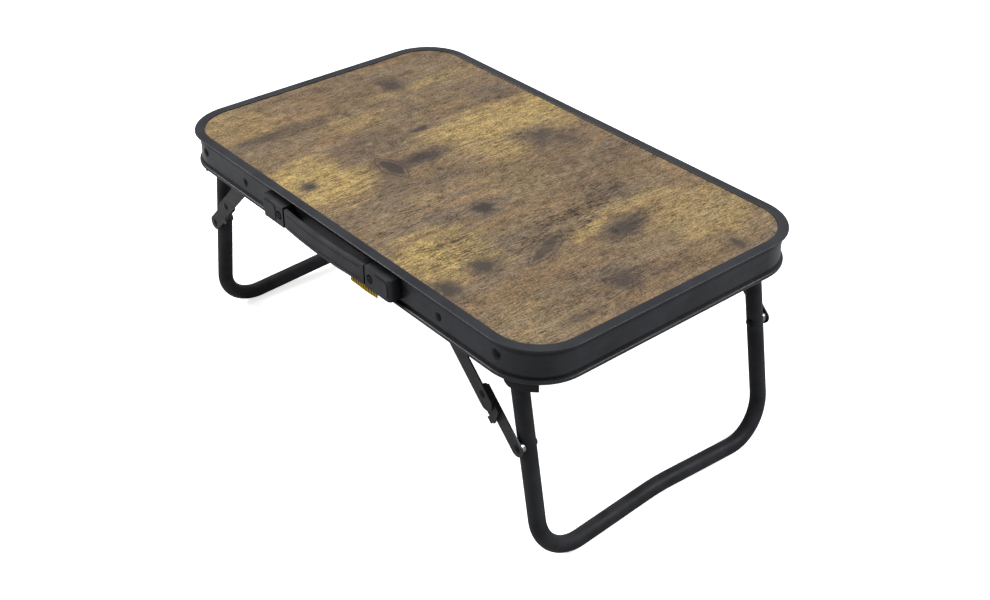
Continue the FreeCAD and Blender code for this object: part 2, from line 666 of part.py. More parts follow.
def web_clearance():
    """The frame's own shape behind the housing, to cut the housing's back to it."""
    run = frame_section().extrude(Vec(HOUSING_OUTER_X - HOUSING_INNER_X + 2 * OVERCUT, 0, 0))
    run.translate(Vec(HOUSING_INNER_X - OVERCUT, 0, 0))
    return run


def strap_slice(outer_y, inner_y, reach_x, bottom, top):
    """A band of the strap: bowed between the housings and straight inside them."""
    bow = STRAP_CROWN_Y - STRAP_MOUTH_Y
    mouth = STRAP_MOUTH_X
    curved = min(reach_x, mouth)

    def bow_y(face_y, x):
        return -(face_y + bow * (1 - (x / mouth) ** 2))

    def bowed_edge(face_y, direction):
        ends = [direction * -curved, 0, direction * curved]
        return Part.Arc(*[Vec(x, bow_y(face_y, x), bottom) for x in ends]).toShape()

    edges = [bowed_edge(outer_y, 1), bowed_edge(inner_y, -1)]
    if reach_x > mouth:
        for side in (1, -1):
            outer = [Vec(side * x, -outer_y, bottom) for x in (mouth, reach_x)]
            inner = [Vec(side * x, -inner_y, bottom) for x in (reach_x, mouth)]
            edges.append(Part.makeLine(outer[0], outer[1]))
            edges.append(Part.makeLine(outer[1], inner[0]))
            edges.append(Part.makeLine(inner[0], inner[1]))
    else:
        for side in (1, -1):
            x = side * curved
            edges.append(Part.makeLine(Vec(x, bow_y(outer_y, x), bottom), Vec(x, bow_y(inner_y, x), bottom)))
    wire = Part.Wire(Part.__sortEdges__(edges))
    return Part.Face(wire).extrude(Vec(0, 0, top - bottom))


def handle_strap():
    """Moulded carrying strap, bowed outwards, with two long grooves and a low tongue at each end."""
    bottom = HANDLE_BOTTOM + STRAP_MARGIN
    top = HANDLE_TOP - STRAP_MARGIN
    inner_y = STRAP_MOUTH_Y - STRAP_THICK
    slot_high = SCREW_RADIUS + STRAP_SLOT_CLEARANCE
    slot_long = slot_high + STRAP_SLOT_TRAVEL
    strap = strap_slice(STRAP_MOUTH_Y, inner_y, STRAP_END_X, bottom, top)
    cutters = []
    for side in (-1, 1):
        groove = HANDLE_MIDDLE + side * GROOVE_OFFSET - GROOVE_WIDTH / 2
        cutters.append(strap_slice(STRAP_MOUTH_Y + OVERCUT, STRAP_MOUTH_Y - GROOVE_DEPTH,
                                   GROOVE_END_X, groove, groove + GROOVE_WIDTH))
        inner_x, outer_x = sorted((side * SHOULDER_X, side * (STRAP_END_X + OVERCUT)))
        below_tongue = (bottom - OVERCUT, HANDLE_BOTTOM + TONGUE_MARGIN)
        above_tongue = (HANDLE_TOP - TONGUE_MARGIN, top + OVERCUT)
        for low, high in (below_tongue, above_tongue):
            cutters.append(box((inner_x, -STRAP_CROWN_Y, low), (outer_x, -inner_y + OVERCUT, high)))
        cutters.append(box((inner_x, -STRAP_CROWN_Y, bottom), (outer_x, -TONGUE_FACE_Y, top)))
        slot_x = side * SCREW_X
        cutters.append(box((slot_x - slot_long, -STRAP_CROWN_Y, HANDLE_MIDDLE - slot_high),
                           (slot_x + slot_long, -inner_y + OVERCUT, HANDLE_MIDDLE + slot_high)))
    return strap.cut(Part.makeCompound(cutters))


def handle_screw(centre_x):
    """A pan-head screw with a cross slot, through the handle into the frame."""
    centre = (centre_x, HANDLE_MIDDLE)
    head_seat = POCKET_FRONT_Y + SCREW_SEAT_GAP
    head_top = HOUSING_FACE_Y + SCREW_SEAT_GAP
    shank = pin_along_y(centre, SCREW_RADIUS, head_seat, WEB_INNER_FACE - SCREW_TIP_GAP)
    head = pin_along_y(centre, SCREW_HEAD_RADIUS, head_top, head_seat)
    arms = []
    for half_x, half_z in ((CROSS_HALF_LENGTH, CROSS_HALF_WIDTH), (CROSS_HALF_WIDTH, CROSS_HALF_LENGTH)):
        arms.append(box((centre_x - half_x, -head_top - OVERCUT, HANDLE_MIDDLE - half_z),
                        (centre_x + half_x, -head_top + CROSS_DEPTH, HANDLE_MIDDLE + half_z)))
    return shank.fuse(head).removeSplitter().cut(arms[0].fuse(arms[1]))


def handle_screws():
    """The two screws that hold the handle to the frame."""
    return Part.makeCompound([handle_screw(side * SCREW_X) for side in (-1, 1)])


def fabric_tag():
    """Small sewn tag hanging behind the strap and below the handle."""
    outline = [
        (TAG_LEFT, TAG_BOTTOM), (TAG_RIGHT, TAG_BOTTOM), (TAG_RIGHT, TAG_LOW_TOP),
        (TAG_NOTCH, TAG_LOW_TOP), (TAG_NOTCH, TAG_HIGH_TOP), (TAG_LEFT, TAG_HIGH_TOP),
    ]
    return polygon_prism_y(outline, TAG_FACE_Y, TAG_FACE_Y - TAG_THICK)


# --- the whole table ---

def main():
    os.makedirs("parts", exist_ok=True)
    save("frame_ring", frame_ring())
    save("top_laminate", top_laminate())
    save("core_board", core_board())

    corner_pieces = {
        "bracket": corner_bracket(),
        "leg_pivot_pin": leg_pivot_pin(),
        "frame_rivet": frame_rivet(),
        "upper_link": upper_link(),
        "middle_rivet_head": middle_rivet_head(),
        "lower_link": lower_link(),
        "middle_rivet_tail": middle_rivet_tail(),
        "leg_rivet": leg_rivet(),
    }
    for corner, flips in CORNERS.items():
        for piece, shape in corner_pieces.items():
            save("%s_%s" % (corner, piece), place_corner(shape, *flips))

    spacer = pivot_spacer()
    washer = frame_washer()
    save("pivot_spacers", Part.makeCompound([place_corner(spacer, *f) for f in CORNERS.values()]))
    save("frame_washers", Part.makeCompound([place_corner(washer, *f) for f in CORNERS.values()]))

    tube = leg_tube()
    cup = leg_washer()
    for leg, flip_x in (("near", False), ("far", True)):
        save("%s_leg_tube" % leg, place_corner(tube, flip_x, False))
        cups = [place_corner(cup, flip_x, flip_y) for flip_y in (False, True)]
        save("%s_leg_washers" % leg, Part.makeCompound(cups))

    housing = handle_housing()
    save("near_handle_housing", housing)
    save("far_handle_housing", place_corner(housing, True, False))
    save("handle_strap", handle_strap())
    save("handle_screws", handle_screws())
    save("fabric_tag", fabric_tag())


main()
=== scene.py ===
import json
import math

import bmesh
import bpy
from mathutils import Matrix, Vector


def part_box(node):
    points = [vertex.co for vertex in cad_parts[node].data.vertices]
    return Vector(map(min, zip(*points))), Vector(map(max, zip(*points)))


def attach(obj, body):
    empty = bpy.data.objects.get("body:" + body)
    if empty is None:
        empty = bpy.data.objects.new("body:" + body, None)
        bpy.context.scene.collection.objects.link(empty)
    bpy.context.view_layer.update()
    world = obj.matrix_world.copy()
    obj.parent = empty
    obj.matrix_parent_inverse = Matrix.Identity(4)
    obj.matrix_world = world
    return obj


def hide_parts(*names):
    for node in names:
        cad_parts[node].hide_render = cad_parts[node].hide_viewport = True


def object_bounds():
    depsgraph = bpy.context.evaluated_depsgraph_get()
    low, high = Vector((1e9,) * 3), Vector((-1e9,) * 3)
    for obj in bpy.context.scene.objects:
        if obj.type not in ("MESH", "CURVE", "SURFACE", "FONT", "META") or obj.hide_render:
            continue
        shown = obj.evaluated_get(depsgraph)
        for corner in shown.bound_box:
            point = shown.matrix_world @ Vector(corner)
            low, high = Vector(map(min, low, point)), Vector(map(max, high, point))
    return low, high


# Looks of the folding side table. Metres, in the CAD frame: X along the long side,
# Y along the short side away from the handle, Z up. Sizes written in mm are turned with MM.

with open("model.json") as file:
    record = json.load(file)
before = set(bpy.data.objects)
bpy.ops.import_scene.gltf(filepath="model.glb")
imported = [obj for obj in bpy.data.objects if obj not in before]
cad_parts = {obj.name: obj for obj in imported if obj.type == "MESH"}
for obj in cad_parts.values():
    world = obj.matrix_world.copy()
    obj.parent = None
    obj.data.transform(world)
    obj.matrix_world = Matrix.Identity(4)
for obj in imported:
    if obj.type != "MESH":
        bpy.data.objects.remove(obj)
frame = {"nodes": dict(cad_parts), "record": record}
cad_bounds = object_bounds()

MM = 0.001

# Camera: where it stands and where it looks, with the horizon level
CAMERA_PLACE = Vector((0.9272, -0.7455, 0.874))
CAMERA_FORWARD = Vector((-0.6391, 0.5360, -0.5515))
CAMERA_LENS = 50.47
SENSOR_WIDTH = 36.0
CAMERA_REACH = 40.0

# Studio: the floor and the sky look paler to the camera than the light they throw back
FLOOR_HALF = 9.0
FLOOR_COLOUR = (0.93, 0.93, 0.93, 1.0)
FLOOR_CLOUD = (0.95, 0.95, 0.95, 1.0)
FLOOR_BOUNCE = (0.42, 0.42, 0.42, 1.0)
FLOOR_GLOW = 0.74
FLOOR_ROUGHNESS = 0.9
SKY_COLOUR = (1.0, 1.0, 1.0, 1.0)
SKY_STRENGTH = 0.40
SKY_BACKDROP = 1.0

# Each soft light: name, power in watts, width, height, place
LIGHTS = (
    ("handle_side_light", 52.0, 1.3, 0.7, Vector((-1.5, -1.3, 1.5))),
    ("far_side_light", 42.0, 1.3, 0.7, Vector((1.35, 1.3, 1.7))),
    ("top_light", 10.0, 1.4, 1.4, Vector((-0.5, 0.5, 2.2))),
)

# Colours, as the surface's own reflectance
FRAME_DARK = (0.0150, 0.0158, 0.0196, 1.0)
FRAME_LIGHT = (0.0280, 0.0294, 0.0350, 1.0)
# Bare metal on worn edges; on the frame it is also a painted highlight
BARE_METAL_AND_HIGHLIGHT = (0.30, 0.31, 0.33, 1.0)
LEG_DARK = (0.0145, 0.0152, 0.0182, 1.0)
LEG_LIGHT = (0.0265, 0.0276, 0.0320, 1.0)
LINK_DARK = (0.0105, 0.0110, 0.0125, 1.0)
LINK_LIGHT = (0.0210, 0.0215, 0.0240, 1.0)
RIVET_DARK = (0.0034, 0.0034, 0.0040, 1.0)
RIVET_LIGHT = (0.0080, 0.0080, 0.0090, 1.0)
PLASTIC_DARK = (0.0185, 0.0188, 0.0222, 1.0)
PLASTIC_LIGHT = (0.0390, 0.0396, 0.0455, 1.0)
BRACKET_DARK = (0.0050, 0.0052, 0.0056, 1.0)
BRACKET_LIGHT = (0.0110, 0.0112, 0.0120, 1.0)
# Edges of the handle, worn and lit by a painted highlight
RUBBED_AND_HIGHLIT_PLASTIC = (0.21, 0.215, 0.225, 1.0)
ZINC_DARK = (0.26, 0.27, 0.29, 1.0)
ZINC_LIGHT = (0.50, 0.51, 0.53, 1.0)
FIBRE_DARK = (0.30, 0.205, 0.115, 1.0)
FIBRE_LIGHT = (0.52, 0.40, 0.255, 1.0)
FIBRE_SPECK = (0.16, 0.10, 0.055, 1.0)

# Painted shade in grooves and gaps: how dark it gets, and how near a wall has to be
CREVICE_SHADE_TONE = 0.08
CREVICE_SHADE_REACH = 9 * MM
SEAT_SHADE_REACH = 2.5 * MM
GAP_SHADE_REACH = 26 * MM
CREVICE_SHADE_RANGE = (0.42, 0.95)
FRAME_GAP_SHADE_RANGE = (0.38, 0.72)
HANDLE_GAP_SHADE_RANGE = (0.38, 0.90)

WOOD_BROWN = (0.1600, 0.1060, 0.0570, 1.0)
WOOD_GREY = (0.1600, 0.1180, 0.0760, 1.0)
WOOD_RED = (0.2050, 0.1190, 0.0550, 1.0)
WOOD_GOLD = (0.3200, 0.2260, 0.0860, 1.0)
WOOD_PALE = (0.4000, 0.3100, 0.1850, 1.0)
WOOD_SHADE = (0.0740, 0.0560, 0.0460, 1.0)
WOOD_KNOT = (0.0370, 0.0300, 0.0270, 1.0)
WOOD_CHECK = (0.0210, 0.0160, 0.0130, 1.0)

TAG_YELLOW = (0.52, 0.34, 0.006, 1.0)
TAG_GOLD = (0.29, 0.18, 0.004, 1.0)
TAG_INK = (0.012, 0.009, 0.006, 1.0)
STITCH_COLOUR = (0.50, 0.32, 0.02, 1.0)

# The printed board's pattern, in mm from the board's middle.
# Each patch: middle x, middle y, half width, half length, turn in degrees, strength
GOLDEN_PATCHES = (
    (-68, 92, 42, 100, 0, 0.92),
    (-28, 52, 46, 34, -15, 0.70),
    (-78, -128, 58, 48, 0, 1.0),
    (102, -118, 46, 58, 0, 1.0),
    (196, 112, 50, 66, 0, 0.54),
    (152, 8, 10, 36, 12, 0.8),
    (-160, -22, 22, 40, 0, 0.45),
    (-232, -128, 40, 50, 0, 0.35),
    (230, -110, 40, 60, 0, 0.25),
    (-195, 100, 9, 90, 0, 0.5),
    (10, -70, 24, 20, 0, 0.3),
    (142, 70, 16, 60, 0, 0.5),
    (40, 20, 40, 50, 0, 0.22),
    (-30, 120, 20, 50, 0, 0.5),
)
SHADE_PATCHES = (
    (-12, 98, 36, 34, 20, 0.95),
    (2, 118, 20, 24, 0, 0.6),
    (60, 140, 26, 46, 0, 0.55),
    (20, 30, 30, 60, 0, 0.25),
    (-126, 128, 28, 28, 0, 0.75),
    (-214, 56, 25, 20, 25, 0.9),
    (-212, 20, 20, 40, 0, 0.5),
    (-188, -96, 13, 84, 3, 0.60),
    (-107, 16, 6, 20, 0, 0.8),
    (-116, -46, 34, 62, 15, 0.6),
    (-56, -18, 14, 44, 0, 0.95),
    (-4, -50, 20, 60, 0, 0.45),
    (-30, -78, 30, 24, 10, 0.6),
    (70, -78, 56, 24, 0, 0.45),
    (106, 70, 30, 44, 0, 0.55),
    (168, 42, 22, 40, 12, 0.9),
    (140, -104, 18, 18, 0, 0.8),
    (122, -52, 14, 44, 0, 0.55),
    (86, -96, 30, 14, 20, 0.45),
    (-76, -140, 10, 14, 0, 0.85),
    (230, -26, 22, 26, 0, 0.85),
    (238, 2, 12, 34, -15, 0.6),
    (256, 96, 14, 8, 0, 0.7),
    (252, -84, 10, 34, 0, 0.55),
    (262, -52, 16, 14, 0, 0.6),
    (210, 60, 20, 20, 0, 0.2),
    (-254, 134, 30, 24, 0, 0.35),
    (142, -152, 16, 20, 0, 0.7),
    (222, -78, 34, 46, 0, 0.50),
    (56, 84, 44, 40, 0, 0.30),
    (22, 36, 36, 44, 0, 0.42),
    (-160, 40, 26, 90, 0, 0.22),
    (-250, 0, 18, 60, 0, 0.25),
)
# Solid dark knots and smudges, as patches are written
KNOTS = (
    (61, -38, 13, 13, 0, 1.0),
    (-211, 55, 19, 13, 8, 0.75),
    (-107, 16, 5, 12, 0, 0.85),
    (-56, -22, 9, 26, 0, 0.75),
    (-26, -22, 5, 4, 0, 0.7),
    (-120, -52, 5, 4, 0, 0.5),
    (-76, -141, 8, 9, 0, 0.8),
    (-18, 104, 12, 14, 20, 0.65),
    (4, 118, 14, 9, 10, 0.5),
    (170, 38, 10, 24, 12, 0.7),
    (139, -103, 16, 12, 0, 0.75),
    (150, -150, 16, 10, 0, 0.8),
    (233, -26, 15, 14, 0, 0.55),
    (257, 96, 13, 6, 0, 0.75),
    (252, -90, 7, 20, 0, 0.5),
    (-192, -122, 9, 34, 0, 0.5),
)
# Eyes: knots with pointed ends along their own X, inside a ring
EYES = (
    (-57, -56, 25, 11, 3, 0.95),
    (152, -42, 33, 10, 114, 0.75),
)
# Zones where the board is checked and saw-marked, as patches are written
CHECKED_ZONES = (
    (128, 6, 28, 84, 8, 1.0),
    (104, -112, 34, 50, 0, 0.9),
    (104, 66, 24, 34, 0, 0.8),
    (-24, 58, 22, 26, 0, 0.7),
    (-6, -10, 14, 24, 0, 0.7),
    (172, 44, 20, 36, 12, 0.8),
    (-56, -18, 14, 40, 0, 0.6),
    (236, -40, 26, 60, 0, 0.6),
    (60, 70, 30, 90, 0, 0.35),
    (-66, 30, 20, 60, 0, 0.35),
)
# The grain flows round the eyes and the first few knots: how many knots, how hard the grain
# is pushed aside, and its reach in the knot's own half sizes, across and along the grain
FLOWED_ROUND = 2
GRAIN_PUSH = 0.75
FLOW_ACROSS = 1.7
FLOW_ALONG = 2.4


# --- shader helpers ---

MIX_COLOUR_OUTPUT = 2
# The range that soft noise mostly stays in
MOST = (0.30, 0.70)
FINE_BUMP = 0.05 * MM
EDGE_SAMPLES = 4
CREVICE_SHADE_SAMPLES = 6


class Graph:
    """One material's node tree, with short calls for making and joining its nodes."""

    def __init__(self, name):
        self.material = bpy.data.materials.new(name)
        self.material.use_nodes = True
        self.tree = self.material.node_tree
        self.shader = self.tree.nodes["Principled BSDF"]
        self.place = self.node("ShaderNodeTexCoord").outputs["Object"]

    def node(self, kind, **settings):
        """A new node with its own settings."""
        made = self.tree.nodes.new(kind)
        for key, value in settings.items():
            setattr(made, key, value)
        return made

    def put(self, value, socket):
        """Link an output to a socket, or set the socket's own value."""
        if isinstance(value, bpy.types.NodeSocket):
            self.tree.links.new(value, socket)
        else:
            socket.default_value = value

    def maths(self, operation, first, second=0.0, third=0.0):
        """A number worked out from up to three others."""
        made = self.node("ShaderNodeMath", operation=operation)
        for index, value in enumerate((first, second, third)):
            self.put(value, made.inputs[index])
        return made.outputs[0]

    def vector(self, operation, first, second=(0.0, 0.0, 0.0)):
        """A vector worked out from two others."""
        made = self.node("ShaderNodeVectorMath", operation=operation)
        self.put(first, made.inputs[0])
        self.put(second, made.inputs[1])
        return made.outputs["Value" if operation == "DOT_PRODUCT" else "Vector"]

    def scaled(self, vector, factor):
        """A vector or colour, times a number."""
        made = self.node("ShaderNodeVectorMath", operation="SCALE")
        self.put(vector, made.inputs[0])
        self.put(factor, made.inputs["Scale"])
        return made.outputs["Vector"]

    def axes(self, vector):
        """A vector's three numbers."""
        made = self.node("ShaderNodeSeparateXYZ")
        self.put(vector, made.inputs[0])
        return made.outputs

    def noise(self, vector, scale, detail=2.0, roughness=0.5, distortion=0.0, colour=False):
        """Soft noise about 1/scale metres across, from 0 to 1."""
        made = self.node("ShaderNodeTexNoise", noise_dimensions="3D")
        self.put(vector, made.inputs["Vector"])
        made.inputs["Scale"].default_value = scale
        made.inputs["Detail"].default_value = detail
        made.inputs["Roughness"].default_value = roughness
        made.inputs["Distortion"].default_value = distortion
        return made.outputs["Color" if colour else "Fac"]

    def cells(self, vector, scale):
        """Distance to scattered points about 1/scale metres apart."""
        made = self.node("ShaderNodeTexVoronoi")
        self.put(vector, made.inputs["Vector"])
        made.inputs["Scale"].default_value = scale
        return made.outputs["Distance"]

    def spread(self, value, low, high, to_low=0.0, to_high=1.0, smooth=True):
        """A number's range stretched to another range, and held inside it."""
        kind = "SMOOTHSTEP" if smooth else "LINEAR"
        made = self.node("ShaderNodeMapRange", interpolation_type=kind)
        self.put(value, made.inputs["Value"])
        limits = {"From Min": low, "From Max": high, "To Min": to_low, "To Max": to_high}
        for key, limit in limits.items():
            made.inputs[key].default_value = limit
        return made.outputs["Result"]

    def mix(self, share, first, second):
        """The second colour laid over the first, by a share from 0 to 1."""
        made = self.node("ShaderNodeMix", data_type="RGBA")
        self.put(share, made.inputs["Factor"])
        self.put(first, made.inputs["A"])
        self.put(second, made.inputs["B"])
        return made.outputs[MIX_COLOUR_OUTPUT]

    def bump(self, height, distance, strength=1.0, below=None):
        """A bumped normal from a height, over an earlier normal if there is one."""
        made = self.node("ShaderNodeBump")
        made.inputs["Strength"].default_value = strength
        made.inputs["Distance"].default_value = distance
        self.put(height, made.inputs["Height"])
        if below is not None:
            self.put(below, made.inputs["Normal"])
        return made.outputs["Normal"]

    def squeezed(self, x, y, z):
        """The object's place times a factor along each axis: above 1, it squeezes a noise there."""
        return self.vector("MULTIPLY", self.place, (x, y, z))

    def finish(self, colour, roughness, normal, **plain):
        """Join the shader's main sockets and set its plain ones."""
        self.put(colour, self.shader.inputs["Base Color"])
        self.put(roughness, self.shader.inputs["Roughness"])
        self.put(normal, self.shader.inputs["Normal"])
        for key, value in plain.items():
            self.shader.inputs[key.replace("_", " ")].default_value = value
        return self.material


def edge_wear_and_highlight(graph, radius, low, high, scale, least=0.0):
    """A broken mask along the edges, for worn paint and a painted highlight, no weaker there than
    its least share.
    """
    bevel = graph.node("ShaderNodeBevel", samples=EDGE_SAMPLES)
    bevel.inputs["Radius"].default_value = radius
    sharp = graph.node("ShaderNodeNewGeometry").outputs["Normal"]
    likeness = graph.vector("DOT_PRODUCT", bevel.outputs["Normal"], sharp)
    edge = graph.spread(likeness, 1.0 - high, 1.0 - low, 1.0, 0.0)
    broken = graph.spread(graph.noise(graph.place, scale, 3.0, 0.65), 0.50, 0.66, least, 1.0)
    return graph.maths("MULTIPLY", edge, broken)


def painted_crevice_shade(graph, tone, reach, openness=CREVICE_SHADE_RANGE):
    """A tone with painted shade deep in grooves and gaps, over a range of how open the place is."""
    hidden = graph.node("ShaderNodeAmbientOcclusion", samples=CREVICE_SHADE_SAMPLES)
    hidden.inputs["Distance"].default_value = reach
    return graph.scaled(tone, graph.spread(hidden.outputs["AO"], *openness, CREVICE_SHADE_TONE, 1.0))


# --- materials ---

# Noises: scale per metre, detail, roughness, and distortion where there is any
PAINT_CLOUD = (38.0, 4.0, 0.6)
PAINT_SMEAR = (4.0, 3.0, 0.6)
FRAME_CLOUD = (24.0, 4.0, 0.6)
FRAME_PEEL = (900.0, 2.0, 0.5)
FRAME_HANDLED = (13.0, 5.0, 0.7, 0.4)
FRAME_DRAWN = (1.0, 3.0, 0.7)
PLASTIC_CLOUD = (45.0, 4.0, 0.6)
PLASTIC_FINE = (2600.0, 2.0, 0.6)
PLASTIC_FLOW = (3.0, 3.0, 0.6)
ZINC_OXIDE = (420.0, 4.0, 0.7)
ZINC_MARKS = (1.0, 2.0, 0.6)
FIBRE_CLOUD = (14.0, 4.0, 0.6)
FIBRE_STRANDS = (420.0, 5.0, 0.7, 1.2)

# How much each of those noises is squeezed along X, Y and Z, where it isn't round
SMEAR_SQUEEZE = (9.0, 9.0, 30.0)
DRAWN_SQUEEZE = (4.0, 4.0, 520.0)
FLOW_SQUEEZE = (12.0, 40.0, 90.0)
MARKS_SQUEEZE = (300.0, 4000.0, 300.0)
FIBRE_SQUEEZE = (1.0, 0.45, 1.0)

# Scattered points: scale per metre
PLASTIC_PITS = 1700.0
FIBRE_SPECKS = 330.0
# How strong the fibreboard's dark specks are
FIBRE_SPECK_STRENGTH = 0.7

# Dust in the paint: its scale as a share of the paint grain's, and its strength
DUST_SCALE = 0.55
DUST_STRENGTH = 0.22

# Worn edges, on the frame and the handle also lit by a painted highlight: radius looked round, least
# and most sharpness, breaks per metre, least share
PAINT_WEAR = (0.5 * MM, 0.02, 0.25, 260.0)
FRAME_WEAR_AND_HIGHLIGHT = (0.9 * MM, 0.01, 0.22, 190.0, 0.5)
PLASTIC_WEAR_AND_HIGHLIGHT = (0.5 * MM, 0.02, 0.25, 300.0)
FRAME_WEAR_AND_HIGHLIGHT_SHARE = 0.26
PLASTIC_WEAR_AND_HIGHLIGHT_SHARE = 0.70

# Roughness, from smooth to dull
FRAME_ROUGHNESS = (0.30, 0.42)
ZINC_ROUGHNESS = (0.26, 0.46)
FIBRE_ROUGHNESS = (0.72, 0.90)
TAG_ROUGHNESS = (0.78, 0.92)
THREAD_ROUGHNESS = (0.6, 0.8)
SKIN_ROUGHNESS = (0.48, 0.64)


def painted_material(name, dark, light, roughness, grain, wear, **plain):
    """Paint or powder coat: cloudy tone, fine orange peel, dust specks, worn edges and painted shade
    in narrow seats.
    """
    graph = Graph(name)
    cloud = graph.noise(graph.place, *PAINT_CLOUD)
    peel = graph.noise(graph.place, grain)
    dust = graph.spread(graph.cells(graph.place, grain * DUST_SCALE), 0.0, 0.16, 1.0, 0.0)
    tone = graph.mix(graph.spread(cloud, 0.32, 0.68), dark, light)
    tone = graph.mix(graph.maths("MULTIPLY", dust, DUST_STRENGTH), tone, light)
    smear = graph.noise(graph.squeezed(*SMEAR_SQUEEZE), *PAINT_SMEAR)
    rough = graph.spread(smear, 0.25, 0.75, roughness - 0.07, roughness + 0.08)
    if wear > 0:
        worn_and_highlit = graph.maths("MULTIPLY", edge_wear_and_highlight(graph, *PAINT_WEAR), wear)
        tone = graph.mix(worn_and_highlit, tone, BARE_METAL_AND_HIGHLIGHT)
    # Painted shade: darker in narrow seats and crevices, such as the ring round each rivet head
    tone = painted_crevice_shade(graph, tone, SEAT_SHADE_REACH)
    normal = graph.bump(peel, 0.06 * MM, 0.55)
    normal = graph.bump(cloud, 0.20 * MM, 0.10, normal)
    return graph.finish(tone, rough, normal, **plain)


def frame_paint():
    """Satin near-black paint on the bent extrusion, with faint drawing lines along it."""
    graph = Graph("frame_paint")
    cloud = graph.noise(graph.place, *FRAME_CLOUD)
    peel = graph.noise(graph.place, *FRAME_PEEL)
    drawn = graph.noise(graph.squeezed(*DRAWN_SQUEEZE), *FRAME_DRAWN)
    tone = graph.mix(graph.spread(cloud, *MOST), FRAME_DARK, FRAME_LIGHT)
    tone = graph.mix(graph.spread(drawn, 0.42, 0.70, 0.0, 0.55), tone, FRAME_LIGHT)
    # Painted highlight along the frame's edges, partly worn bare metal
    worn_and_highlit = graph.maths("MULTIPLY", edge_wear_and_highlight(graph, *FRAME_WEAR_AND_HIGHLIGHT), FRAME_WEAR_AND_HIGHLIGHT_SHARE)
    tone = graph.mix(worn_and_highlit, tone, BARE_METAL_AND_HIGHLIGHT)
    # Painted shade in the cove under the nose and in the gap behind the handle
    tone = painted_crevice_shade(graph, tone, CREVICE_SHADE_REACH)
    tone = painted_crevice_shade(graph, tone, GAP_SHADE_REACH, FRAME_GAP_SHADE_RANGE)
    handled = graph.noise(graph.place, *FRAME_HANDLED)
    rough = graph.spread(handled, 0.28, 0.72, *FRAME_ROUGHNESS)
    normal = graph.bump(peel, FINE_BUMP, 0.45)
    normal = graph.bump(drawn, FINE_BUMP, 0.45, normal)
    return graph.finish(tone, rough, normal, Specular_IOR_Level=0.24)


def moulded_plastic(name, dark, light, roughness):
    """Moulded plastic with a spark-eroded grain, worn edges lit by a painted highlight, and painted
    shade in grooves and gaps.
    """
    graph = Graph(name)
    cloud = graph.noise(graph.place, *PLASTIC_CLOUD)
    pits = graph.cells(graph.place, PLASTIC_PITS)
    fine = graph.noise(graph.place, *PLASTIC_FINE)
    flow = graph.noise(graph.squeezed(*FLOW_SQUEEZE), *PLASTIC_FLOW)
    tone = graph.mix(graph.spread(cloud, *MOST), dark, light)
    tone = graph.mix(graph.spread(flow, 0.5, 0.8, 0.0, 0.35), tone, light)
    # Painted highlight along the edges, partly worn plastic
    worn_and_highlit = graph.maths("MULTIPLY", edge_wear_and_highlight(graph, *PLASTIC_WEAR_AND_HIGHLIGHT), PLASTIC_WEAR_AND_HIGHLIGHT_SHARE)
    tone = graph.mix(worn_and_highlit, tone, RUBBED_AND_HIGHLIT_PLASTIC)
    # Painted shade in grooves and in the gap behind the strap
    tone = painted_crevice_shade(graph, tone, CREVICE_SHADE_REACH)
    tone = painted_crevice_shade(graph, tone, GAP_SHADE_REACH, HANDLE_GAP_SHADE_RANGE)
    rough = graph.spread(cloud, *MOST, roughness - 0.06, roughness + 0.07)
    normal = graph.bump(pits, 0.07 * MM, 0.45)
    normal = graph.bump(fine, 0.03 * MM, 0.35, normal)
    return graph.finish(tone, rough, normal, Specular_IOR_Level=0.26)


def washer_zinc():
    """Bare zinc: turned marks and cloudy oxide."""
    graph = Graph("washer_zinc")
    oxide = graph.noise(graph.place, *ZINC_OXIDE)
    marks = graph.noise(graph.squeezed(*MARKS_SQUEEZE), *ZINC_MARKS)
    tone = graph.mix(graph.spread(oxide, 0.35, 0.65), ZINC_DARK, ZINC_LIGHT)
    rough = graph.spread(oxide, *MOST, *ZINC_ROUGHNESS)
    normal = graph.bump(marks, 0.02 * MM, 0.5)
    return graph.finish(tone, rough, normal, Metallic=1.0)


def core_board():
    """Raw fibreboard: short pressed fibres, dark specks and a dusty matt skin."""
    graph = Graph("core_board")
    fibres = graph.noise(graph.squeezed(*FIBRE_SQUEEZE), *FIBRE_STRANDS)
    cloud = graph.noise(graph.place, *FIBRE_CLOUD)
    specks = graph.spread(graph.cells(graph.place, FIBRE_SPECKS), 0.0, 0.17, 1.0, 0.0)
    tone = graph.mix(graph.spread(fibres, *MOST), FIBRE_DARK, FIBRE_LIGHT)
    tone = graph.mix(graph.spread(cloud, 0.35, 0.7, 0.0, 0.35), tone, FIBRE_DARK)
    tone = graph.mix(graph.maths("MULTIPLY", specks, FIBRE_SPECK_STRENGTH), tone, FIBRE_SPECK)
    rough = graph.spread(fibres, *MOST, *FIBRE_ROUGHNESS)
    return graph.finish(tone, rough, graph.bump(fibres, 0.15 * MM, 0.5), Specular_IOR_Level=0.3)


# --- the printed wood top ---

# Fibres and flecks along the grain: scale across and along it per metre, detail, roughness, weight
FIBRE_LAYERS = (
    (85.0, 8.0, 3.0, 0.6, 0.38),
    (240.0, 30.0, 3.0, 0.65, 0.50),
    (640.0, 110.0, 2.0, 0.6, 1.00),
)
# Round flecks: scale per metre, detail, roughness, weight
FLECK_LAYERS = (
    (64.0, 4.0, 0.65, 0.50),
    (520.0, 3.0, 0.75, 1.45),
)
